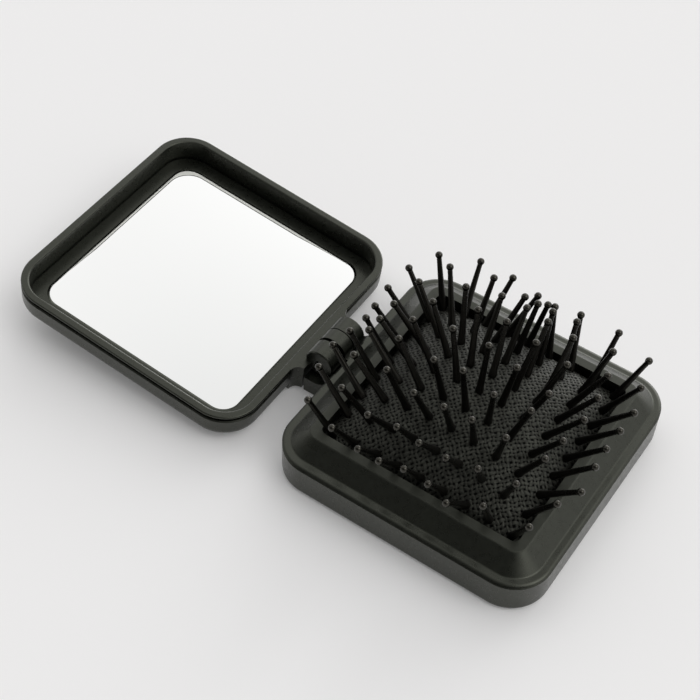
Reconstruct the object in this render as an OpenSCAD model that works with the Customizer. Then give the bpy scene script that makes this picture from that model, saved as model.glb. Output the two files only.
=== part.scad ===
// Folding hairbrush with mirror: two square cases on a pinned barrel hinge.
// The base case holds a pop-up brush unit (carrier, cushion, pins, push plate);
// the lid case holds a square mirror in a deep rounded frame.
// Modelled open, lid lying on the -X side, brush unit popped up.
// Origin: centre of the base's underside. +Z up, hinge axis parallel to Y.

/* [Case] */
// Side of both square cases
case_w = 72; // [66:1:80]
// Corner radius of the cases, seen from above
case_corner = 10; // [8:0.5:12]
// Wall thickness of the base shell
base_wall = 1.8; // [1.4:0.1:2.2]
// Floor thickness of the base shell
base_floor = 1.6; // [1.2:0.1:1.8]
// Height of the base's outer rim above the popped-up brush unit's plate
rim_over = 1.35; // [1.1:0.05:1.8]
// Height of the raised collar round the brush opening above the outer rim
collar_h = 3.95; // [3.6:0.05:4.4]
// Side of the square brush opening
opening_w = 53.8; // [52:0.2:55]
// Height of the shadow groove between shell and frame
seam = 0.5; // [0.3:0.02:0.6]

/* [Lid] */
// Thickness of the lid, rim to back
lid_t = 8.4; // [8:0.1:9.6]
// Angle by which the opened lid's far edge is raised
lid_tilt = 5.5; // [2:0.5:8]
// Width of the flat rim round the mirror recess
rim_w = 2.1; // [1.8:0.1:2.3]
// Depth of the mirror's face below the rim
mirror_depth = 6.3; // [6:0.1:6.6]
// Side of the square mirror
mirror_w = 59.8; // [56:0.2:62]
// Thickness of the mirror glass
mirror_t = 0.9; // [0.7:0.05:1]

/* [Hinge] */
// Radius of the hinge barrel
barrel_r = 4; // [3.6:0.1:4.8]
// Length of the hinge barrel
barrel_len = 14.5; // [12:0.5:16]
// Radius of the steel hinge pin
pin_r = 1; // [0.8:0.1:1.2]
// Gap between the barrel and the edge of the base
barrel_gap = 0.7; // [0.6:0.05:1]
// Distance of the hinge axis below the base's outer rim
hinge_drop = 0.85; // [0.7:0.05:0.95]

/* [Brush] */
// Pins in each of the nine rows
row_pins = 9; // [5:2:9]
// Distance of the outermost pins from the edge of the opening
pin_margin = 2.5; // [2.4:0.1:4]
// Length of a pin above the cushion
pin_len = 15.4; // [13:0.2:16]
// Radius of the ball at a pin's tip
ball_r = 0.95; // [0.8:0.05:1.1]
// Height of the cushion's crown above its edge
dome_h = 11.1; // [10:0.1:12]
// Thickness of the cushion's rubber
rubber_t = 1.1; // [0.9:0.1:1.2]
// Travel of the brush unit between popped up and pushed in
travel = 7.2; // [6.6:0.1:8.6]
// Diameter of the round push plate in the underside
push_d = 25.6; // [20:0.4:27.2]

/* [Hidden] */
$fn = 96;
eps = 0.02;
half = case_w / 2;
play = 0.2;
// height of the brush unit's plate when popped up, and of what is set by it
plate_z = base_floor + play + travel;
base_rim_z = plate_z + rim_over;
collar_z = base_rim_z + collar_h;
// base
base_edge_r = 1.5;
rim_t = 0.55;
rim_edge_r = 0.4;
crown_r = 1.2;
crown_drop = 0.42;
groove_in = 1;
groove_bevel = 0.3;
shell_top = base_rim_z - rim_t - eps;
rim_band = 2.15;
lip_t = 0.8;
lip_h = 1.4;
slope_run = 4.55;
collar_t = 1.3;
collar_edge_r = 0.55;
collar_foot_r = 0.8;
opening = opening_w / 2;
opening_r = 1.8;
collar_out = half - rim_band - slope_run;
collar_r = 3;
bevel_c = collar_out - collar_r;
skirt_w = 1.4;
// hinge
hinge_off = barrel_r + barrel_gap;
hinge_x = -half - hinge_off;
hinge_z = base_rim_z - hinge_drop;
// the base's knuckle sits to one side of the gap between the lid's knuckles
knuckle_gap = 4.8;
base_knuckle = 3.6;
knuckle_shift = 0.3;
knuckle_bevel = 0.3;
pin_recess = 1.5;
wall_in = 1;
block_foot = 0.3;
block_top = hinge_z - 1.4;
web_foot = 3;
web_back = 1.6;
web_top = hinge_z - 0.6;
saddle_r = barrel_r + 0.4;
block_half = 9.8;
block_x = hinge_x - 2.7;
notch_half = barrel_len / 2 + 0.8;
notch_r = barrel_r + 1.6;
fixed_bore_r = pin_r + 0.02;
bore_r = pin_r + 0.06;
// lid, in the hinge axis's own frame with the rim level
closed_gap = 0.15;
lid_edge = -hinge_off - 0.06;
lid_c = lid_edge - half;
rim_z = -hinge_drop - closed_gap;
back_z = rim_z - lid_t;
lid_wall = 1.6;
tape_t = 0.2;
lid_plate = lid_t - mirror_depth - mirror_t - tape_t;
lid_edge_r = 3;
rim_lip = 0.76;
neck_h = 1;
groove_z = rim_z - rim_lip - neck_h;
rim_inner_r = 0.5;
channel_w = 0.4;
channel_t = 0.5;
lid_inner_r = 0.6;
ledge_drop = 0.3;
ledge_z = rim_z - mirror_depth + ledge_drop;
mirror_r = 5;
arris = 0.4;
glass_gap = 0.2;
ear_face = -2.46;
ear_half = 9.9;
ear_fillet = 2.4;
// brush unit
plate_t = 0.7;
flange_t = 0.5;
flange_z = plate_z + plate_t + 0.5;
clamp_t = 0.6;
clamp_r = 0.6;
unit_half = opening + 1.8;
unit_r = 4.6;
dome_half = opening - 0.2;
dome_z = flange_z + flange_t;
skirt_z = dome_z + clamp_t + play;
pad_half = 28;
pad_steps = 22;
post_x = unit_half + 1.6;
post_y = 16;
post_r = 1.1;
post_foot = 1;
post_top = shell_top - 0.3;
eye_r = 1.8;
eye_bore_r = post_r + 0.06;
push_t = base_floor + play - 0.3;
window_r = push_d / 2 + 0.4;
peg_r = 1.2;
peg_ring = 8;
air_r = 2;
air_ring = 17;
dish = 0.6;
dish_half = 10.4;
foot_r = 1.22;
root_r = 0.86;
neck_r = 0.64;
// lean of the outermost pins: at mid-side, and its loss towards the corners
lean_side = 0.78;
lean_loss = 1.03;
lean_corner = 0.55;
rows = 9;

// ---------- helpers ----------

// points on an arc, from angle a to angle b
function arc(cx, cy, r, a, b, n = 8) =
    [for (i = [0:n]) let (t = a + (b - a) * i / n) [cx + r * cos(t), cy + r * sin(t)]];

module rounded(h, r) {
    square([2 * h, 2 * (h - r)], center = true);
    square([2 * (h - r), 2 * h], center = true);
    for (x = [-1, 1], y = [-1, 1]) translate([x * (h - r), y * (h - r)]) circle(r);
}

module slab(h, r, z0, z1) {
    translate([0, 0, z0]) linear_extrude(z1 - z0) rounded(h, r);
}

// carries a wall's section round a square with rounded corners; the section's
// x = 0 lies on the corner's centre, at a distance c from the middle of the case
module round_square(c) {
    for (k = [0:3]) rotate([0, 0, 90 * k]) {
        translate([c, c, 0]) rotate_extrude(angle = 90) children();
        translate([c, 0, 0]) rotate([90, 0, 0]) linear_extrude(2 * c, center = true) children();
    }
}

// a cylinder along Y, centred on y
module bar_y(x, z, r, len, y = 0) {
    translate([x, y, z]) rotate([90, 0, 0]) cylinder(r = r, h = len, center = true);
}

module box(x0, x1, y0, y1, z0, z1) {
    translate([x0, y0, z0]) cube([x1 - x0, y1 - y0, z1 - z0]);
}

// places the lid's own frame on the hinge
module on_hinge() {
    translate([hinge_x, 0, hinge_z]) rotate([0, lid_tilt, 0]) children();
}

// ---------- base ----------

// section of the shell: floor, rounded foot, wall, stepped top
module shell_section() {
    r = case_corner;
    polygon(concat(
        [[0, 0]],
        arc(r - base_edge_r, base_edge_r, base_edge_r, -90, 0),
        [[r, shell_top - seam - groove_bevel], [r - groove_bevel, shell_top - seam],
         [r - groove_in, shell_top - seam], [r - groove_in, shell_top],
         [r - base_wall, shell_top]],
        arc(r - base_wall - 1, base_floor + 1, 1, 0, -90, 5),
        [[0, base_floor]]));
}

// block under the barrel, hollowed as a saddle for the turning knuckles
module hinge_block() {
    difference() {
        box(block_x, wall_in - half, -block_half, block_half, block_foot, block_top);
        bar_y(hinge_x, hinge_z, saddle_r, 2 * block_half + 1);
        box(block_x - 1, hinge_x, -block_half - 1, block_half + 1, hinge_z - saddle_r, hinge_z);
    }
}

module base_knuckle_shape() {
    low = knuckle_shift - base_knuckle / 2;
    high = low + base_knuckle;
    bar_y(hinge_x, hinge_z, barrel_r, base_knuckle, knuckle_shift);
    box(hinge_x, wall_in - half, low, high, web_foot, web_top);
    box(hinge_x - web_back, hinge_x, low, high, web_foot, hinge_z - web_back);
}

module base_shell() {
    color("#4d4f4b") difference() {
        union() {
            difference() {
                union() {
                    round_square(half - case_corner) shell_section();
                    slab(half - case_corner + 1, 1, 0, base_floor);
                }
                bar_y(hinge_x, hinge_z, notch_r, 2 * notch_half);
                cylinder(r = window_r, h = 3 * base_floor, center = true);
            }
            hinge_block();
            base_knuckle_shape();
            for (x = [-1, 1], y = [-1, 1])
                translate([x * post_x, y * post_y, post_foot])
                    cylinder(r = post_r, h = post_top - post_foot);
        }
        bar_y(hinge_x, hinge_z, fixed_bore_r, base_knuckle + 2);
    }
}

// section of the outer rim: locating lip inside the shell, crowned outer edge
module rim_section() {
    r = case_corner;
    lip = r - base_wall - 0.1;
    start = asin(1 - crown_drop / crown_r);
    polygon(concat(
        [[lip - lip_t, shell_top - lip_h], [lip, shell_top - lip_h], [lip, shell_top + eps]],
        [[r - 0.15, shell_top + eps]],
        arc(r - crown_r * cos(start), base_rim_z - crown_r, crown_r, start, 90, 6),
        [[lip - lip_t, base_rim_z]]));
}

// section of the bevelled collar, measured from its own corner centre
module collar_section() {
    foot = half - rim_band - bevel_c;
    top = collar_out - bevel_c;
    edge = [top - 0.3, collar_z - collar_edge_r];
    bevel = [foot, base_rim_z] - edge - collar_edge_r * [cos(45), sin(45)];
    turn = atan2(-bevel[1], bevel[0]);
    polygon(concat(
        arc(foot + collar_foot_r * tan(turn / 2), base_rim_z + collar_foot_r, collar_foot_r,
            -90 - turn, -90, 4),
        [[foot + 0.4, base_rim_z], [foot + 0.4, shell_top + eps], [foot - 1.2, shell_top + eps]],
        [[top - 0.6, collar_z - collar_t], [0.4, collar_z - collar_t], [0.4, collar_z]],
        arc(edge[0], edge[1], collar_edge_r, 95, 45, 5)));
}

module brush_frame() {
    color("#565853") difference() {
        union() {
            round_square(half - case_corner) rim_section();
            round_square(bevel_c) collar_section();
            slab(bevel_c + 1, 1, collar_z - collar_t, collar_z);
            slab(opening + skirt_w, opening_r + skirt_w, skirt_z, collar_z - 0.3);
        }
        slab(opening, opening_r, skirt_z - 1, collar_z + 1);
        bar_y(hinge_x, hinge_z, notch_r, 2 * notch_half);
    }
}

module hinge_pin() {
    color("silver") bar_y(hinge_x, hinge_z, pin_r, barrel_len - 2 * pin_recess);
}

// ---------- brush unit ----------

module pad_carrier() {
    color("#2c2d2b") difference() {
        union() {
            slab(unit_half, unit_r, plate_z, plate_z + plate_t);
            difference() {
                slab(unit_half, unit_r, plate_z, flange_z);
                slab(dome_half - 0.6, unit_r - 2.2, plate_z - 1, flange_z + 1);
            }
            for (x = [-1, 1], y = [-1, 1]) translate([x * post_x, y * post_y, plate_z]) {
                cylinder(r = eye_r, h = plate_t);
                translate([-x * eye_r / 2, 0, plate_t / 2])
                    cube([eye_r, 2 * eye_r, plate_t], center = true);
            }
        }
        for (x = [-1, 1], y = [-1, 1])
            translate([x * post_x, y * post_y, plate_z - 1]) cylinder(r = eye_bore_r, h = 4);
        for (k = [0:3]) rotate([0, 0, 90 * k]) {
            translate([air_ring, 0, plate_z - 1]) cylinder(r = air_r, h = 4);
            rotate([0, 0, 45]) translate([peg_ring, 0, plate_z - 1])
                cylinder(r = peg_r + 0.03, h = 4);
        }
    }
}

// round plate pressed by a finger from below; its underside is dished
module push_plate() {
    r = push_d / 2;
    dish_r = (dish_half * dish_half + dish * dish) / (2 * dish);
    color("#3b3d3a") {
        translate([0, 0, plate_z - push_t]) rotate_extrude() polygon(concat(
            arc(0, dish - dish_r, dish_r, 90, acos(dish_half / dish_r), 6),
            [[r - 0.3, 0], [r, 0.3], [r, push_t], [0, push_t]]));
        for (k = [0:3]) rotate([0, 0, 45 + 90 * k])
            translate([peg_ring, 0, plate_z - 0.5]) cylinder(r = peg_r, h = 0.5 + plate_t);
    }
}

module pad_retainer() {
    color("#2c2d2b") difference() {
        slab(unit_half, unit_r, dome_z, dome_z + clamp_t);
        slab(opening, clamp_r, dome_z - 1, dome_z + 2);
    }
}

// outline of the inflated cushion along one axis, 1 at the middle and 0 at the edge
function swell(t) = pow(max(0, 1 - t * t), 0.6);
function dome(x, y) = dome_z + dome_h * swell(x / dome_half) * swell(y / dome_half);
// the grid closes up towards the edge, where the rubber turns down steeply
function grid(i) = let (s = 2 * i / pad_steps - 1)
    abs(s) == 1 ? s * pad_half : dome_half * sin(90 * s / (1 - 2 / pad_steps));
function pad_under(x, y) = max(flange_z, dome(x, y) - rubber_t * 1.25);

module cushion_pad() {
    n = pad_steps + 1;
    top = [for (i = [0:pad_steps], j = [0:pad_steps])
        let (x = grid(i), y = grid(j)) [x, y, dome(x, y)]];
    under = [for (p = top) [p[0], p[1], pad_under(p[0], p[1])]];
    m = n * n;
    last = pad_steps - 1;
    sheets = [for (i = [0:last], j = [0:last]) let (a = i * n + j, b = a + n) each [
        [a, a + 1, b + 1], [a, b + 1, b],
        [m + a, m + b + 1, m + a + 1], [m + a, m + b, m + b + 1]]];
    rims = [for (k = [0:last]) each [
        [k, m + k + 1, k + 1], [k, m + k, m + k + 1],
        [pad_steps * n + k, pad_steps * n + k + 1, m + pad_steps * n + k + 1],
        [pad_steps * n + k, m + pad_steps * n + k + 1, m + pad_steps * n + k],
        [k * n, (k + 1) * n, m + (k + 1) * n], [k * n, m + (k + 1) * n, m + k * n],
        [k * n + pad_steps, m + (k + 1) * n + pad_steps, (k + 1) * n + pad_steps],
        [k * n + pad_steps, m + k * n + pad_steps, m + (k + 1) * n + pad_steps]]];
    color("#2b2b2a") polyhedron(points = concat(top, under), faces = concat(sheets, rims));
}

// one bristle pin along +Z: head under the rubber, flared foot, tapered shank, ball tip
module pin() {
    sink = rubber_t + 0.15;
    translate([0, 0, -sink - 0.35]) cylinder(r = foot_r, h = 0.37);
    translate([0, 0, -sink]) cylinder(r = root_r, h = sink + 0.6);
    translate([0, 0, 0.1]) cylinder(r1 = foot_r, r2 = root_r, h = 0.7);
    translate([0, 0, 0.4]) cylinder(r1 = root_r, r2 = neck_r, h = pin_len - ball_r - 0.4);
    translate([0, 0, pin_len - ball_r]) sphere(ball_r);
}

// pins stand out of the cushion, leaning outwards, least towards the corners
module pin_row(j) {
    reach = opening - pin_margin;
    v = 2 * j / (rows - 1) - 1;
    y = reach * v;
    color("#1f1f1e") for (i = [0:row_pins - 1]) {
        u = 2 * i / (row_pins - 1) - 1;
        x = reach * u;
        lx = u * (lean_side - lean_loss * v * v + lean_corner * u * u * v * v);
        ly = v * (lean_side - lean_loss * u * u + lean_corner * u * u * v * v);
        translate([x, y, dome(x, y)])
            rotate([0, atan(norm([lx, ly])), atan2(ly, lx)]) pin();
    }
}

// ---------- lid ----------

// section of the lid's back shell
module lid_section() {
    r = case_corner;
    polygon(concat(
        [[0, back_z]],
        arc(r - lid_edge_r, back_z + lid_edge_r, lid_edge_r, -90, 0, 10),
        [[r, groove_z - groove_bevel], [r - groove_bevel, groove_z], [r - lid_wall, groove_z]],
        arc(r - lid_wall - lid_inner_r, back_z + lid_plate + lid_inner_r, lid_inner_r, 0, -90, 4),
        [[0, back_z + lid_plate]]));
}

// plan of the ear that carries the hinge, with hollow rounds at its ends
module ear_plan(depth) {
    difference() {
        translate([lid_edge - depth, -ear_half - ear_fillet])
            square([ear_face - lid_edge + depth, 2 * (ear_half + ear_fillet)]);
        for (y = [-1, 1])
            translate([lid_edge + ear_fillet, y * (ear_half + ear_fillet)]) circle(ear_fillet);
    }
}

module lid_shell() {
    color("#4d4f4b") on_hinge() difference() {
        union() {
            translate([lid_c, 0, 0]) {
                round_square(half - case_corner) lid_section();
                slab(half - case_corner + 1, 1, back_z, back_z + lid_plate);
            }
            translate([0, 0, back_z + 0.3]) linear_extrude(groove_z - back_z - 0.3) ear_plan(lid_wall);
        }
        bar_y(0, 0, barrel_r + 0.12, barrel_len + 1);
        bar_y(0, 0, saddle_r, knuckle_gap);
    }
}

// section of the mirror frame: rim, groove neck, wall with a channel at its foot, ledge
module frame_section() {
    r = case_corner;
    in = r - rim_w;
    body = r - lid_wall - 0.1;
    foot = lid_inner_r + 0.1;
    polygon(concat(
        [[0, back_z + lid_plate + eps], [body - foot, back_z + lid_plate + eps],
         [body, back_z + lid_plate + foot], [body, groove_z + eps]],
        [[r - groove_in, groove_z + eps], [r - groove_in, rim_z - rim_lip],
         [r - groove_bevel, rim_z - rim_lip], [r, rim_z - rim_lip + groove_bevel]],
        arc(r - rim_edge_r, rim_z - rim_edge_r, rim_edge_r, 0, 90, 5),
        arc(in + rim_inner_r, rim_z - rim_inner_r, rim_inner_r, 90, 180, 5),
        [[in, ledge_z - channel_t], [in - channel_w, ledge_z - channel_t],
         [in - channel_w, ledge_z], [0, ledge_z]]));
}

// one of the lid's two knuckles, with its outer edge bevelled
module lid_knuckle() {
    inner = knuckle_gap / 2;
    outer = barrel_len / 2;
    rotate([-90, 0, 0]) rotate_extrude() polygon([
        [0, inner], [barrel_r, inner], [barrel_r, outer - knuckle_bevel],
        [barrel_r - knuckle_bevel, outer], [0, outer]]);
}

module mirror_frame() {
    ear_z = groove_z + eps;
    color("#565853") on_hinge() difference() {
        union() {
            translate([lid_c, 0, 0]) difference() {
                union() {
                    round_square(half - case_corner) frame_section();
                    slab(half - case_corner + 1, 1, back_z + lid_plate + eps, ledge_z);
                }
                slab(mirror_w / 2 + glass_gap, mirror_r + glass_gap, back_z, rim_z);
            }
            translate([0, 0, ear_z]) linear_extrude(rim_z - ear_z) ear_plan(0.5);
            for (side = [0, 1]) mirror([0, side, 0]) lid_knuckle();
        }
        bar_y(0, 0, saddle_r, knuckle_gap);
        bar_y(0, 0, bore_r, barrel_len + 1);
    }
}

module mirror_tape() {
    color("gainsboro") on_hinge() translate([lid_c, 0, 0])
        slab(mirror_w / 2 - 2, mirror_r, back_z + lid_plate, back_z + lid_plate + tape_t);
}

// square glass with rounded corners and a ground arris round its face
module mirror_glass() {
    z = back_z + lid_plate + tape_t;
    middle = mirror_w / 2 - mirror_r;
    color("aliceblue") on_hinge() translate([lid_c, 0, z]) {
        round_square(middle) polygon([
            [0, 0], [mirror_r, 0], [mirror_r, mirror_t - arris], [mirror_r - arris, mirror_t],
            [0, mirror_t]]);
        translate([0, 0, mirror_t / 2]) cube([2 * middle, 2 * middle, mirror_t], center = true);
    }
}

base_shell();
brush_frame();
hinge_pin();
pad_carrier();
push_plate();
pad_retainer();
cushion_pad();
pin_row(0);  // pin_row_1
pin_row(1);  // pin_row_2
pin_row(2);  // pin_row_3
pin_row(3);  // pin_row_4
pin_row(4);  // pin_row_5
pin_row(5);  // pin_row_6
pin_row(6);  // pin_row_7
pin_row(7);  // pin_row_8
pin_row(8);  // pin_row_9
lid_shell();
mirror_frame();
mirror_tape();
mirror_glass();
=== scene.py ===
"""Folding hairbrush with mirror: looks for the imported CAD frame, in metres."""

import math

import bpy
import numpy as np
from mathutils import Matrix, Vector


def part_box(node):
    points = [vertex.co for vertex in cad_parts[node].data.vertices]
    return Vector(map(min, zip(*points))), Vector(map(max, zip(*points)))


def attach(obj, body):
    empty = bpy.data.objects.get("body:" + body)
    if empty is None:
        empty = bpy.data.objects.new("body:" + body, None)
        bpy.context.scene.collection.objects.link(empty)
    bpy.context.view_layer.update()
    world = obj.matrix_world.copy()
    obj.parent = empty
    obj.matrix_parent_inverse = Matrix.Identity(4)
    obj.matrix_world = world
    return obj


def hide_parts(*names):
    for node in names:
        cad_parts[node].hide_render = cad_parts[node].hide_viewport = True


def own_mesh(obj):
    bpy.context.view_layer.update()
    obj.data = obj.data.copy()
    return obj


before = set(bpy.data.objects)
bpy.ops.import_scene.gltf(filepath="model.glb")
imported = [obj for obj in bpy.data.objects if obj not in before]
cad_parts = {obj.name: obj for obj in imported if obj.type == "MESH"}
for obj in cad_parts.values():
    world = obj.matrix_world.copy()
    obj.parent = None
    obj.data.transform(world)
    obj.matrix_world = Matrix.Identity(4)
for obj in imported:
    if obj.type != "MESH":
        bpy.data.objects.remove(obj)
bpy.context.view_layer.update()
MM = 0.001
LID_TILT = 5.5  # degrees

# ---------- camera: the photograph's viewing angle ----------

PHOTO_PX = 700
FOCAL_PX = 1532.2
AZIMUTH, ELEVATION, ROLL = 31.862, 50.216, 3.089  # degrees
DISTANCE = 395.0 * MM
AIM = Vector((-41.24 * MM, 7.89 * MM, 0))


def add_camera():
    az, el, roll = (math.radians(a) for a in (AZIMUTH, ELEVATION, ROLL))
    back = Vector((math.sin(az) * math.cos(el), -math.cos(az) * math.cos(el), math.sin(el)))
    level = Vector((math.cos(az), math.sin(az), 0))
    upright = back.cross(level)
    right = level * math.cos(roll) + upright * math.sin(roll)
    up = upright * math.cos(roll) - level * math.sin(roll)
    data = bpy.data.cameras.new("camera")
    data.sensor_width = 36
    data.lens = FOCAL_PX * data.sensor_width / PHOTO_PX
    data.clip_start = 0.01
    cam = bpy.data.objects.new("camera", data)
    turn = Matrix((right, up, back)).transposed().to_4x4()
    cam.matrix_world = Matrix.Translation(AIM + back * DISTANCE) @ turn
    bpy.context.scene.collection.objects.link(cam)
    bpy.context.scene.camera = cam


# ---------- materials ----------

class Nodes:
    """A material's node tree, with short calls for the nodes used here."""

    def __init__(self, name):
        self.material = bpy.data.materials.new(name)
        self.material.use_nodes = True
        self.tree = self.material.node_tree
        self.tree.nodes.clear()
        self.shader = self.add("ShaderNodeBsdfPrincipled")
        self.out = self.add("ShaderNodeOutputMaterial")
        self.link(self.shader.outputs[0], self.out.inputs["Surface"])
        self.place = self.add("ShaderNodeTexCoord").outputs["Object"]

    def add(self, kind, **settings):
        node = self.tree.nodes.new(kind)
        for key, value in settings.items():
            setattr(node, key, value)
        return node

    def link(self, a, b):
        self.tree.links.new(a, b)

    def math(self, operation, a, b=0.5):
        node = self.add("ShaderNodeMath", operation=operation)
        for socket, value in zip(node.inputs, (a, b)):
            if isinstance(value, (int, float)):
                socket.default_value = value
            else:
                self.link(value, socket)
        return node.outputs[0]

    def noise(self, scale, detail=3.0, rough=0.5, place=None):
        node = self.add("ShaderNodeTexNoise")
        node.inputs["Scale"].default_value = scale
        node.inputs["Detail"].default_value = detail
        node.inputs["Roughness"].default_value = rough
        self.link(place or self.place, node.inputs["Vector"])
        return node.outputs["Fac"]

    def spread(self, value, low, high, start=0.3, end=0.7):
        node = self.add("ShaderNodeMapRange")
        for key, number in zip(("From Min", "From Max", "To Min", "To Max"), (start, end, low, high)):
            node.inputs[key].default_value = number
        self.link(value, node.inputs["Value"])
        return node.outputs[0]

    def colour(self, factor, low, high):
        node = self.add("ShaderNodeMix", data_type="RGBA")
        self.link(factor, node.inputs["Factor"])
        node.inputs["A"].default_value = (*low, 1)
        node.inputs["B"].default_value = (*high, 1)
        return node.outputs["Result"]

    def bump(self, height, strength, distance, before=None):
        node = self.add("ShaderNodeBump")
        node.inputs["Strength"].default_value = strength
        node.inputs["Distance"].default_value = distance
        self.link(height, node.inputs["Height"])
        if before is not None:
            self.link(before, node.inputs["Normal"])
        return node.outputs[0]

    def set(self, **values):
        for key, value in values.items():
            socket = self.shader.inputs[key.replace("_", " ")]
            if isinstance(value, (int, float)):
                socket.default_value = value
            elif isinstance(value, tuple):
                socket.default_value = (*value, 1)
            else:
                self.link(value, socket)
        return self.material


CASE_COLOUR, CASE_ROUGH = (0.0042, 0.0048, 0.0036), 0.29
SHEEN_TINT = (0.96, 1.0, 0.84)
# the collar's top has a duller texture: where it starts, how fast it comes in, what it adds
COLLAR_TOP_Z, COLLAR_FADE, COLLAR_MATTE = 14.0 * MM, 0.2 * MM, 0.24


def moulded(name, colour, rough, collar=False):
    """Moulded plastic: fine spark-eroded grain, slightly uneven tone and sheen."""
    n = Nodes(name)
    tone = n.noise(90, 2)
    dark = tuple(c * 0.8 for c in colour)
    light = tuple(c * 1.2 for c in colour)
    fine = n.bump(n.noise(5200, 2, 0.6), 0.16, 0.00004)
    soft = n.bump(n.noise(160, 3), 0.025, 0.0003, before=fine)
    sheen = n.spread(n.noise(700, 4), rough - 0.04, rough + 0.05)
    if collar:
        split = n.add("ShaderNodeSeparateXYZ")
        n.link(n.place, split.inputs[0])
        matte = n.spread(split.outputs["Z"], 0, COLLAR_MATTE,
                         COLLAR_TOP_Z, COLLAR_TOP_Z + COLLAR_FADE)
        sheen = n.math("ADD", sheen, matte)
    return n.set(Base_Color=n.colour(n.spread(tone, 0, 1), dark, light),
                 Roughness=sheen, Specular_Tint=SHEEN_TINT, Normal=soft, IOR=1.6)


NYLON_TINT = (1.0, 0.96, 0.82)


def nylon():
    """Black nylon of the pins' shanks, dull at the foot and smoother towards the tip."""
    n = Nodes("bristle_nylon")
    polish = n.add("ShaderNodeAttribute", attribute_name="polish").outputs["Fac"]
    uneven = n.spread(n.noise(1800), -0.03, 0.03)
    return n.set(Base_Color=n.colour(n.noise(400), (0.0011, 0.001, 0.0009), (0.003, 0.0028, 0.0022)),
                 Roughness=n.math("ADD", n.spread(polish, 0.36, 0.2, 0, 1), uneven),
                 Specular_Tint=NYLON_TINT, Normal=n.bump(n.noise(1200, 1), 0.03, 0.00003), IOR=1.3)


def dipped_ball():
    """The ball at a pin's tip, dipped and glossier than its shank."""
    n = Nodes("bristle_ball")
    return n.set(Base_Color=n.colour(n.noise(600), (0.001, 0.001, 0.0008), (0.003, 0.0028, 0.0022)),
                 Roughness=n.spread(n.noise(1800), 0.08, 0.14), Specular_IOR_Level=0.55,
                 Specular_Tint=NYLON_TINT, Normal=n.bump(n.noise(1200, 1), 0.03, 0.00003), IOR=1.5)


WEAVE = 1.05 * MM   # pitch of the threads
OVER = 0.3          # how far a thread dips where it passes under another


def knurled_rubber():
    """Rubber of the cushion: woven threads, with painted shade in the pits between them: darker colour and
    weaker reflection where the relief is low.
    """
    n = Nodes("cushion_rubber")
    split = n.add("ShaderNodeSeparateXYZ")
    n.link(n.add("ShaderNodeAttribute", attribute_name="weave").outputs["Vector"], split.inputs[0])
    sines = [n.math("SINE", split.outputs[axis]) for axis in ("X", "Y")]
    crossing = n.math("MULTIPLY", *sines)
    threads = []
    for sine, side, edge in zip(sines, (OVER, -OVER), ((0.48, 0.8), (0.38, 0.72))):
        lift = n.math("MULTIPLY_ADD", crossing, side)
        lift.node.inputs[2].default_value = 1 - OVER
        threads.append(n.math("MULTIPLY", n.spread(n.math("ABSOLUTE", sine), 0, 1, *edge), lift))
    thread = n.math("MAXIMUM", *threads)
    worn = n.math("MULTIPLY", n.spread(n.noise(300), 0.7, 1.3), n.spread(n.noise(1700, 2), 0.6, 1.4))
    # painted shade: colour and reflection darken with the relief's height, in the pits and where a thread
    # dips under another; the noise on them is uneven tone
    tone = n.math("MULTIPLY", n.spread(thread, 0.02, 0.82, 0.1, 0.9), worn)
    pit_shaded_gloss = n.math("MULTIPLY", n.spread(thread, 0.02, 0.48, 0.1, 0.9), worn)
    return n.set(Base_Color=n.colour(tone, (0.0006, 0.0006, 0.0006), (0.034, 0.0346, 0.030)),
                 Specular_Tint=n.colour(pit_shaded_gloss, (0, 0, 0), SHEEN_TINT), Specular_IOR_Level=0.5,
                 Roughness=n.math("ADD", n.spread(thread, 0.85, 0.42), n.spread(n.noise(900), -0.05, 0.08)),
                 Normal=n.bump(n.noise(4000, 2), 0.15, 0.00004), IOR=1.5)


# the ground edge of the mirror, drawn as painted reflection on the far edges only: half the glass's side, the
# edge's width, the dark line inside it
MIRROR_HALF, ARRIS, EDGE_LINE = 29.9 * MM, 0.75 * MM, 0.26 * MM
MIRROR_ROUND = 7 * MM   # corner of the line inside the edge; the glass's own corners are 5 mm
FAR_PAINTED_EDGE_MORE = 0.28 * MM   # how much wider the painted edge reflection shows along the far side
STRIP_ENDS, STRIP_FULL = 4 * MM, 20 * MM   # where it starts and where it has its full width


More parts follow.
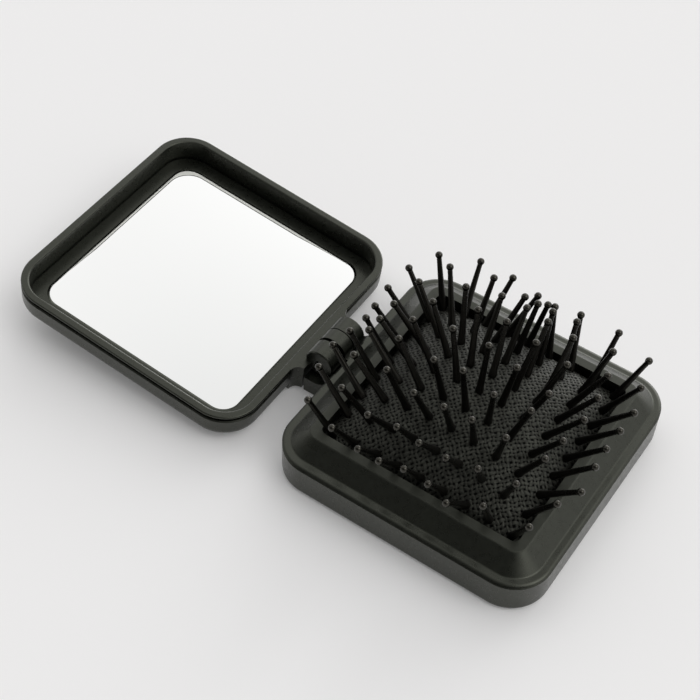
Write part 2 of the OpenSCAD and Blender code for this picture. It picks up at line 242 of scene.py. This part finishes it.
def silvered_glass():
    """Mirror: silvered face, with a ground arris and a thin dark line inside it along its two far edges only.
    The ground edge is real, but drawing it only there, wider along the far side, is a painted reflection of
    the glass's edge seen through its thickness.
    """
    n = Nodes("mirror_glass")
    # distance inside the square's rounded edge, measured from the mirror's own middle
    low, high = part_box("mirror_glass")
    middle = (Vector(low) + Vector(high)) / 2
    tilt = math.radians(LID_TILT)
    split = n.add("ShaderNodeSeparateXYZ")
    shift = n.add("ShaderNodeVectorMath", operation="SUBTRACT")
    n.link(n.place, shift.inputs[0])
    shift.inputs[1].default_value = middle
    n.link(shift.outputs[0], split.inputs[0])
    along = n.math("SUBTRACT", n.math("MULTIPLY", split.outputs["X"], math.cos(tilt)),
                   n.math("MULTIPLY", split.outputs["Z"], math.sin(tilt)))
    straight = MIRROR_HALF - MIRROR_ROUND
    across = n.math("ADD", split.outputs["Y"], FAR_PAINTED_EDGE_MORE)
    over = [n.math("MAXIMUM", n.math("SUBTRACT", n.math("ABSOLUTE", axis), straight), 0.0)
            for axis in (along, across)]
    out = n.math("SQRT", n.math("ADD", *(n.math("MULTIPLY", o, o) for o in over)))
    inside = n.math("SUBTRACT", MIRROR_ROUND, out)
    # the painted strip narrows to nothing where the far edges meet the near ones, so the near edges show none
    width = n.spread(n.math("SUBTRACT", split.outputs["Y"], along), 0, 1, STRIP_ENDS, STRIP_FULL)
    near_half = n.math("LESS_THAN", width, 0.01)
    silver = n.math("MAXIMUM", near_half,
                    n.math("GREATER_THAN", inside, n.math("MULTIPLY", width, ARRIS + EDGE_LINE)))
    line = n.math("MULTIPLY", n.math("GREATER_THAN", inside, n.math("MULTIPLY", width, ARRIS)),
                  n.math("SUBTRACT", 1.0, silver))
    # painted reflection: the pale ground edge and the dark line inside it, on the far edges only
    ground_edge_and_reflection = n.colour(line, (0.84, 0.85, 0.8), (0.07, 0.074, 0.066))
    mix = n.add("ShaderNodeMix", data_type="RGBA")
    n.link(silver, mix.inputs["Factor"])
    n.link(ground_edge_and_reflection, mix.inputs["A"])
    n.link(n.colour(n.noise(20, 1), (0.94, 0.95, 0.945), (0.96, 0.965, 0.96)), mix.inputs["B"])
    wave = n.bump(n.noise(14, 1), 0.02, 0.0002)
    return n.set(Base_Color=mix.outputs["Result"], Metallic=silver,
                 Roughness=n.spread(silver, 0.45, 0.015, 0, 1), Normal=wave)


def drawn_steel():
    """Bright steel of the hinge pin."""
    n = Nodes("pin_steel")
    return n.set(Base_Color=n.colour(n.noise(900), (0.42, 0.42, 0.42), (0.55, 0.55, 0.54)), Metallic=1.0,
                 Roughness=n.spread(n.noise(2400), 0.25, 0.4), Normal=n.bump(n.noise(3000), 0.1, 0.00002))


def foam():
    """Pale foam tape behind the mirror."""
    n = Nodes("foam_tape")
    return n.set(Base_Color=n.colour(n.noise(900), (0.72, 0.72, 0.7), (0.85, 0.85, 0.83)), Roughness=0.8,
                 Normal=n.bump(n.noise(2500, 3), 0.5, 0.0001))


FLOOR_GLOW, GLOW_SHARE = 0.82, 0.12   # the floor's plain tone, and the share of it that is seen


def paper_floor():
    """Pale floor. Camera, glossy and transmission rays see a share of it at its plain tone."""
    n = Nodes("floor")
    glow = n.add("ShaderNodeEmission")
    glow.inputs["Strength"].default_value = FLOOR_GLOW
    ray = n.add("ShaderNodeLightPath").outputs
    seen = n.math("MAXIMUM", n.math("MAXIMUM", ray["Is Camera Ray"], ray["Is Glossy Ray"]),
                  ray["Is Transmission Ray"])
    mix = n.add("ShaderNodeMixShader")
    n.link(n.math("MULTIPLY", seen, GLOW_SHARE), mix.inputs[0])
    n.link(n.shader.outputs[0], mix.inputs[1])
    n.link(glow.outputs[0], mix.inputs[2])
    n.link(mix.outputs[0], n.out.inputs["Surface"])
    return n.set(Base_Color=n.colour(n.noise(3, 2), (0.91, 0.905, 0.905), (0.93, 0.926, 0.93)),
                 Roughness=0.9, Normal=n.bump(n.noise(900, 2), 0.05, 0.0001))


def dress(node, material):
    """Gives a CAD node its finish."""
    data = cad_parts[node].data
    data.materials.clear()
    data.materials.append(material)


# ---------- pieces ----------

def add_mesh(name, points, faces, material, smooth=True):
    data = bpy.data.meshes.new(name)
    data.from_pydata([tuple(p) for p in points], [], [tuple(f) for f in faces])
    data.update()
    data.polygons.foreach_set("use_smooth", [smooth] * len(data.polygons))
    data.materials.append(material)
    piece = bpy.data.objects.new(name, data)
    bpy.context.scene.collection.objects.link(piece)
    return piece


# where the photograph shows each pin's tip, in pixels of its 700 x 700 frame: nine rows from
# the near side to the far side, each from the hinge outwards
TIPS_PX = (
    ((308, 400), (332, 428), (358, 449), (379, 461), (404, 469),
     (428, 484), (446, 503), (483, 506), (529, 527)),
    ((319, 367), (342, 388), (368, 415), (397, 427), (419, 443),
     (446, 458), (478, 469), (516, 484), (557, 504)),
    ((333, 345), (354, 355), (387, 370), (414, 393), (444, 407),
     (472, 420), (506, 438), (545, 459), (581, 492)),
    ((350, 331), (369, 330), (399, 339), (434, 360), (463, 371),
     (494, 395), (531, 411), (563, 441), (595, 467)),
    ((366, 318), (380, 319), (413, 320), (453, 329), (489, 346),
     (517, 368), (549, 394), (584, 420), (606, 449)),
    ((375, 306), (394, 304), (433, 302), (478, 310), (507, 322),
     (536, 343), (567, 365), (598, 398), (620, 431)),
    ((388, 288), (419, 282), (466, 287), (502, 296), (527, 308),
     (548, 322), (573, 338), (608, 376), (634, 413)),
    ((409, 268), (450, 267), (494, 278), (525, 297), (538, 304),
     (553, 312), (577, 322), (613, 352), (641, 388)),
    ((439, 255), (481, 261), (513, 278), (538, 296), (548, 305),
     (555, 307), (581, 315), (619, 333), (649, 361)),
)

# the brush unit's sizes, as in the CAD frame, in millimetres
DOME_Z, DOME_H, DOME_HALF, PAD_HALF = 10.7, 11.1, 26.7, 28.0
DOME_POWER = 0.6   # how full the dome is towards its edge
FLANGE_Z, RUBBER_T = 10.2, 1.1
RELIEF = 0.17      # depth of the weave's pits
ROWS = 9
REACH = 24.4       # from the middle to the outermost pins' feet
LEAN_SIDE, LEAN_LOSS, LEAN_CORNER = 0.78, 1.03, 0.55
PIN_LEN, BALL_R = 15.4, 0.95
TRAVEL, MIRROR_Z = 7.2, 16.8


def swell(t):
    return np.maximum(0, 1 - t * t) ** DOME_POWER


def dome(x, y):
    return DOME_Z + DOME_H * swell(x / DOME_HALF) * swell(y / DOME_HALF)


def weave(x, y):
    """Phases of the two sets of threads, drawn a little out of square by the moulding."""
    turn = math.pi / (WEAVE / MM * math.sqrt(2))
    pull = 0.16
    u = x + pull * np.sin(0.9 * y + 0.4 * x) + pull * np.sin(2.3 * x - 1.1 * y)
    v = y + pull * np.sin(0.8 * x - 0.5 * y + 1) + pull * np.sin(2.1 * y + 1.3 * x)
    return (u + v) * turn, (u - v) * turn


def threads(a, b):
    """Height of the woven relief, from 0 in a pit to 1 on top of a thread."""
    heights = []
    for own, side in ((a, OVER), (b, -OVER)):
        ridge = np.clip((np.abs(np.sin(own)) - 0.6) / 0.4, 0, 1) ** 0.7
        heights.append(ridge * (1 - OVER + side * np.sin(a) * np.sin(b)))
    return np.maximum(*heights)


def cushion():
    """The inflated rubber cushion with its woven relief, a closed sheet with a flange."""
    cells = 330
    crowd = math.pi / 2 * 0.86   # the cells are closer towards the dome's edge
    edge_fade = 8                # how fast the relief comes in from that edge
    under_t = RUBBER_T * 1.3     # thick enough under the pits
    s = np.linspace(-1, 1, cells - 1)
    line = DOME_HALF * np.sin(s * crowd) / math.sin(crowd)
    line = np.concatenate([[-PAD_HALF], line, [PAD_HALF]])
    n = len(line)
    x, y = np.meshgrid(line, line, indexing="ij")
    top = dome(x, y)
    steep = swell(x / DOME_HALF) * swell(y / DOME_HALF)
    phases = weave(x, y)
    top = top - RELIEF * (1 - threads(*phases)) * np.clip(steep * edge_fade, 0, 1)
    under = np.maximum(FLANGE_Z, dome(x, y) - under_t)
    points = np.concatenate([np.stack([x, y, top], -1).reshape(-1, 3),
                             np.stack([x, y, under], -1).reshape(-1, 3)]) * MM
    index = np.arange(n * n).reshape(n, n)
    a, b, c, d = (index[:-1, :-1], index[1:, :-1], index[1:, 1:], index[:-1, 1:])
    upper = np.stack([a, b, c, d], -1).reshape(-1, 4)
    lower = np.stack([a, d, c, b], -1).reshape(-1, 4) + n * n
    ring = np.concatenate([index[:-1, 0], index[-1, :-1], index[:0:-1, -1], index[0, :0:-1]])
    nxt = np.roll(ring, -1)
    side = np.stack([ring, ring + n * n, nxt + n * n, nxt], -1)
    faces = np.concatenate([upper, lower, side])
    piece = add_mesh("cushion", points, faces.tolist(), RUBBER)
    flat = np.stack([*phases, np.zeros_like(x)], -1).reshape(-1, 3)
    held = piece.data.attributes.new("weave", "FLOAT_VECTOR", "POINT")
    held.data.foreach_set("vector", np.concatenate([flat, flat]).astype(np.float32).ravel())
    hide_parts("cushion_pad")
    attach(piece, "brush")
    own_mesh(piece)


def arc(cx, cz, r, start, end, steps):
    angles = [math.radians(start + (end - start) * i / steps) for i in range(steps + 1)]
    return [(cx + r * math.cos(a), cz + r * math.sin(a)) for a in angles]


def pin_profile():
    """Section of one pin: head under the rubber, flared foot, tapered shank, ball."""
    foot, flare, root, neck = 1.22, 1.04, 0.86, 0.64
    ball = PIN_LEN - BALL_R
    start = math.degrees(math.asin(neck / BALL_R)) - 90
    return ([(0, -1.6), (foot - 0.05, -1.55), (foot, -1.25), (root, -1.15), (root, -0.5),
             (flare - 0.08, -0.35), (flare, 0.1), (flare - 0.01, 0.5), (flare - 0.05, 1.0),
             (root + 0.03, 1.8), (root, 3.2), (root - 0.08, 6.0), (neck, ball - 2.0),
             (neck, ball - BALL_R)]
            + arc(0, ball, BALL_R, start, 90, 10))


def revolve(profile, steps=20):
    """Surface of revolution about Z, with a single point wherever the section meets the axis."""
    points, faces, rings = [], [], []
    for r, z in profile:
        if r < 1e-6:
            rings.append([len(points)])
            points.append((0, 0, z))
            continue
        rings.append(list(range(len(points), len(points) + steps)))
        points += [(r * math.cos(2 * math.pi * k / steps), r * math.sin(2 * math.pi * k / steps), z)
                   for k in range(steps)]
    for low, high in zip(rings, rings[1:]):
        for k in range(steps):
            j = (k + 1) % steps
            ring = [low[k % len(low)], low[j % len(low)], high[j % len(high)], high[k % len(high)]]
            faces.append(list(dict.fromkeys(ring)))
    return np.array(points), faces


def seen_lean(base, pixel, usual):
    """Direction of a pin whose tip shows at a pixel; of two such, the one nearer to the usual lean."""
    cam = bpy.context.scene.camera.matrix_world
    centre = PHOTO_PX / 2
    sight = Vector(((pixel[0] - centre) / FOCAL_PX, (centre - pixel[1]) / FOCAL_PX, -1))
    ray = (cam.to_3x3() @ sight).normalized()
    start = cam.translation / MM - base
    reach = PIN_LEN - BALL_R
    along = -start.dot(ray)
    beside = (start + ray * along).length
    depth = math.sqrt(max(0.0, reach * reach - beside * beside))
    tips = [(start + ray * (along + side * depth)).normalized() for side in (-1, 1)]
    return max(tips, key=usual.dot)


def pins():
    """81 pins, each leaned so that its tip lies where the photograph shows it."""
    points, faces = revolve(pin_profile())
    height = np.clip(points[:, 2] / PIN_LEN, 0, 1)
    dipped = PIN_LEN - 2 * BALL_R
    polish = (height ** 1.5).astype(np.float32)
    on_ball = np.array([points[face, 2].mean() > dipped for face in faces], dtype=np.int32)
    spare = 0.5
    inside = 25.4   # half width of the room between the collar's walls
    # how high a tip may be, at the slide's rest: under the mirror, and beside the walls
    roof, below_rim = MIRROR_Z + TRAVEL - BALL_R - spare, 20.4
    for j in range(ROWS):
        for i in range(ROWS):
            u, v = (2 * k / (ROWS - 1) - 1 for k in (i, j))
            base = Vector((REACH * u, REACH * v, float(dome(REACH * u, REACH * v))))
            lean = Vector((u * (LEAN_SIDE - LEAN_LOSS * v * v + LEAN_CORNER * u * u * v * v),
                           v * (LEAN_SIDE - LEAN_LOSS * u * u + LEAN_CORNER * u * u * v * v), 1)).normalized()
            lean = seen_lean(base, TIPS_PX[j][i], lean)
            turn = np.array(lean.to_track_quat("Z", "Y").to_matrix())
            placed = (points @ turn.T + np.array(base)) * MM
            piece = add_mesh(f"pin_{j + 1}_{i + 1}", placed, faces, NYLON)
            piece.data.attributes.new("polish", "FLOAT", "POINT").data.foreach_set("value", polish)
            piece.data.materials.append(BALL)
            piece.data.polygons.foreach_set("material_index", on_ball)
            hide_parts(f"pin_row_{j + 1}")
            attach(piece, "brush")
            # where the tip goes when the lid is shut
            reach = lean * (PIN_LEN - BALL_R)
            tip = base + reach
            kept = Vector((max(-inside, min(inside, tip.x)), max(-inside, min(inside, tip.y)), 0))
            outer = (kept - tip).xy.length > 0.01
            kept.z = min(tip.z - spare, below_rim if outer else roof)
            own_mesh(piece)


# ---------- floor and light ----------

FLOOR_DROP = 0.05 * MM   # keeps the floor off the base's underside


def add_floor():
    size = 3.0
    corners = [(-size, -size, 0), (size, -size, 0), (size, size, 0), (-size, size, 0)]
    floor = add_mesh("floor", corners, [(0, 1, 2, 3)], paper_floor(), smooth=False)
    floor.location.z = -FLOOR_DROP


# the room's soft lights: azimuth from the far side towards the right, elevation (degrees),
# how closely each gathers round its middle, strength
ROOM_ALL_ROUND = 0.08
# the pale walls round the room: strength at the horizon, and the heights (sines of the
# elevation) between which they fade
WALLS, WALLS_FULL, WALLS_END = 0.7, 0.12, 0.42
LIGHT_COLOUR = (1.0, 0.995, 0.99)
ROOM = {
    "left_high": (278, 55, 9, 0.86),
    "right_high": (78, 52, 12, 3.0),
    "back_low": (357, 19, 10, 3.1),
    "back_left": (322, 46, 5, 0.34),
}


def add_world():
    """A soft room: broad lights overhead and low behind, pale walls, no light on the near side."""
    world = bpy.data.worlds.new("studio")
    world.use_nodes = True
    bpy.context.scene.world = world
    tree = world.node_tree
    tree.nodes.clear()

    def maths(operation, *values):
        node = tree.nodes.new("ShaderNodeMath")
        node.operation = operation
        for socket, value in zip(node.inputs, values):
            if isinstance(value, (int, float)):
                socket.default_value = value
            else:
                tree.links.new(value, socket)
        return node.outputs[0]

    place = tree.nodes.new("ShaderNodeTexCoord")
    height = tree.nodes.new("ShaderNodeSeparateXYZ")
    tree.links.new(place.outputs["Generated"], height.inputs[0])
    fade = tree.nodes.new("ShaderNodeMapRange")
    for key, number in (("From Min", WALLS_FULL), ("From Max", WALLS_END),
                        ("To Min", WALLS), ("To Max", 0.0)):
        fade.inputs[key].default_value = number
    tree.links.new(maths("ABSOLUTE", height.outputs["Z"]), fade.inputs["Value"])
    total = maths("ADD", fade.outputs[0], ROOM_ALL_ROUND)
    for azimuth, elevation, gather, strength in ROOM.values():
        az, el = math.radians(azimuth), math.radians(elevation)
        dot = tree.nodes.new("ShaderNodeVectorMath")
        dot.operation = "DOT_PRODUCT"
        dot.inputs[1].default_value = (math.sin(az) * math.cos(el), math.cos(az) * math.cos(el),
                                       math.sin(el))
        tree.links.new(place.outputs["Generated"], dot.inputs[0])
        near = maths("EXPONENT", maths("MULTIPLY_ADD", dot.outputs["Value"], gather, -gather))
        total = maths("MULTIPLY_ADD", near, strength, total)
    back = tree.nodes.new("ShaderNodeBackground")
    back.inputs["Color"].default_value = (*LIGHT_COLOUR, 1)
    out = tree.nodes.new("ShaderNodeOutputWorld")
    tree.links.new(total, back.inputs["Strength"])
    tree.links.new(back.outputs[0], out.inputs["Surface"])


SHELL = moulded("shell_plastic", CASE_COLOUR, CASE_ROUGH)
FRAME = moulded("frame_plastic", CASE_COLOUR, CASE_ROUGH)
BRUSH_FRAME = moulded("brush_frame_plastic", CASE_COLOUR, CASE_ROUGH, collar=True)
INNER = moulded("inner_plastic", (0.004, 0.004, 0.0036), 0.45)
NYLON, BALL, RUBBER = nylon(), dipped_ball(), knurled_rubber()

add_camera()
for name in ("base_shell", "lid_shell"):
    dress(name, SHELL)
dress("brush_frame", BRUSH_FRAME)
dress("mirror_frame", FRAME)
for name in ("pad_carrier", "push_plate", "pad_retainer"):
    dress(name, INNER)
dress("hinge_pin", drawn_steel())
dress("mirror_tape", foam())
dress("mirror_glass", silvered_glass())
cushion()
pins()
add_floor()
add_world()

bpy.context.scene.view_settings.view_transform = "Standard"
